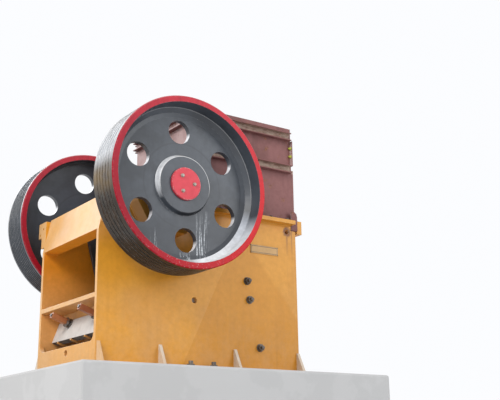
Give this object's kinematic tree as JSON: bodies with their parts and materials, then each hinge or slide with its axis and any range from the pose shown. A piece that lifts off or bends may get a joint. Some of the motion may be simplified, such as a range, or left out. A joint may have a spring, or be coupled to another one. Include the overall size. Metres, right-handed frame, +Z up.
{
  "type": "jaw crusher",
  "caption": "Single toggle jaw crusher in a welded plate frame with two large flywheels, a corrugated crushing chamber and a steel feed chute on top.",
  "frame": {"origin": "on the ground under the middle of the overall box", "axes": "+Z up, +X towards the feed end, +Y along the shaft towards the belt wheel"},
  "size_m": [2.48, 2.36, 2.632],
  "materials": {
    "frame_yellow": "satin",
    "plate_bare": "satin",
    "dusty_plate": "matte",
    "wheel_grey": "satin",
    "cap_red": "gloss",
    "chute_primer": "matte",
    "dark_casting": "matte",
    "jaw_steel": "worn",
    "worn_steel": "satin",
    "rod_steel": "oiled",
    "tube_primer": "satin"
  },
  "bodies": {
    "frame": {"side_plate_near": "frame_yellow", "side_plate_far": "frame_yellow", "base_flanges": "frame_yellow", "foot_gussets": "frame_yellow", "top_flanges": "frame_yellow", "front_wall": "frame_yellow", "front_ribs": "frame_yellow", "front_uprights": "frame_yellow", "front_deck": "frame_yellow", "front_beam": "frame_yellow", "rear_hood": "frame_yellow", "rear_shelf": "frame_yellow", "rear_inner_wall": "frame_yellow", "rear_beam_ribs": "frame_yellow", "rear_sill": "frame_yellow", "toggle_guides": "frame_yellow", "side_brackets": "frame_yellow", "name_plate": "plate_bare", "bearing_saddles": "frame_yellow", "rear_beam_plate": "dusty_plate", "toggle_block": "dark_casting", "adjusting_wedges": "worn_steel", "toggle_plate": "dark_casting", "tension_rods": "rod_steel", "spring_tubes": "tube_primer", "fixed_jaw_plate": "jaw_steel", "fixed_jaw_wedges": "jaw_steel", "cheek_plates": "jaw_steel", "bearing_caps": "dark_casting", "bearing_housings": "dark_casting", "chute_side_near": "chute_primer", "chute_side_far": "chute_primer", "chute_rear_wall": "chute_primer", "chute_front_wall": "chute_primer", "chute_ribs": "chute_primer", "chute_posts": "chute_primer", "chute_foot": "chute_primer"},
    "rotor": {"eccentric_shaft": "worn_steel", "flywheel_near": "wheel_grey", "flywheel_far": "wheel_grey", "shaft_caps": "cap_red"},
    "pitman": {"pitman": "dark_casting", "moving_jaw_plate": "jaw_steel", "jaw_clamp": "jaw_steel", "pitman_guard": "dark_casting", "toggle_seat": "dark_casting", "rod_pins": "rod_steel"}
  },
  "joints": [
    {"name": "shaft_spin", "type": "hinge", "parent": "frame", "child": "rotor", "pos_m": [-0.44, 0, 1.64], "axis": [0, 1, 0], "continuous": true},
    {"name": "pitman_pivot", "type": "hinge", "parent": "rotor", "child": "pitman", "pos_m": [-0.44, 0, 1.625], "axis": [0, 1, 0], "continuous": true}
  ],
  "couplings": [
    {"joint": "pitman_pivot", "follows": "shaft_spin", "ratio": -1}
  ]
}
